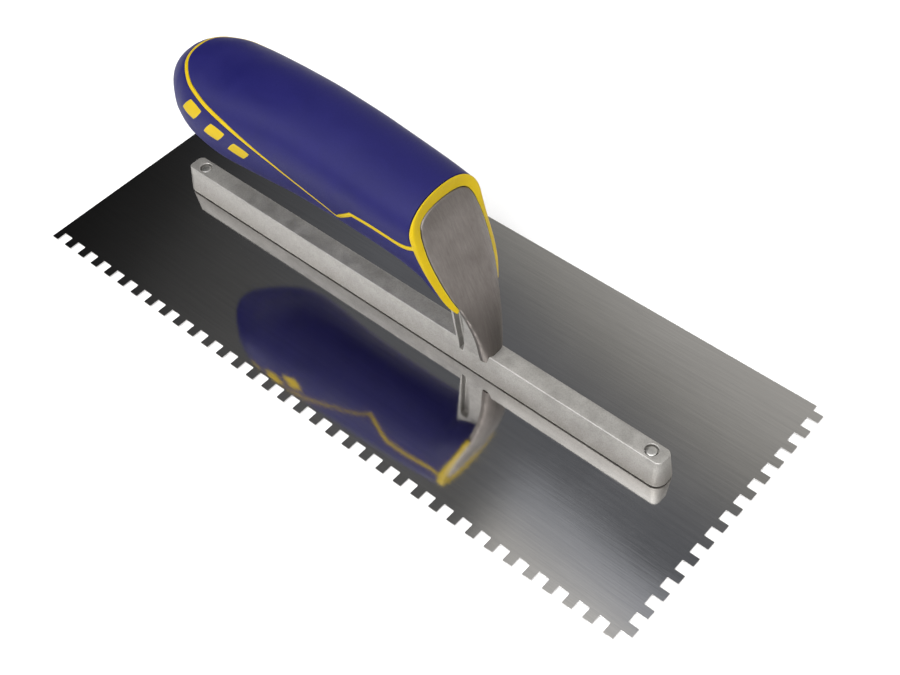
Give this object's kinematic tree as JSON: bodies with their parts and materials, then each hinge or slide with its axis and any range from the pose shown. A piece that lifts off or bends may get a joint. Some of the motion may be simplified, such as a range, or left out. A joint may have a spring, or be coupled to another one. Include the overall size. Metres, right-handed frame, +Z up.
{
  "type": "notched trowel",
  "caption": "Hand trowel with a square-notched steel blade, a cast aluminium mounting bar and shank, and a two-tone soft-grip handle, for spreading and combing tile adhesive.",
  "frame": {"origin": "centre of the blade's underside, on the surface that the trowel lies on", "axes": "+X along the blade towards its notched short end, +Y from the notched long edge to the plain long edge, +Z up from the blade to the handle"},
  "size_m": [0.2794, 0.1142, 0.0861],
  "materials": {
    "blade_steel": "polished along its length, with fine rolling lines",
    "cast_aluminium": "tumbled die casting, satin",
    "rivet_steel": "peened",
    "core_plastic": "fine satin",
    "grip_rubber": "matt soft touch"
  },
  "bodies": {
    "root": {"blade": "blade_steel", "shank_casting": "cast_aluminium", "front_rivet": "rivet_steel", "rear_rivet": "rivet_steel", "hidden_stud_1": "rivet_steel", "hidden_stud_2": "rivet_steel", "hidden_stud_3": "rivet_steel", "handle_core": "core_plastic", "grip_upper": "grip_rubber", "grip_lower": "grip_rubber", "core_pin": "rivet_steel"}
  },
  "joints": []
}
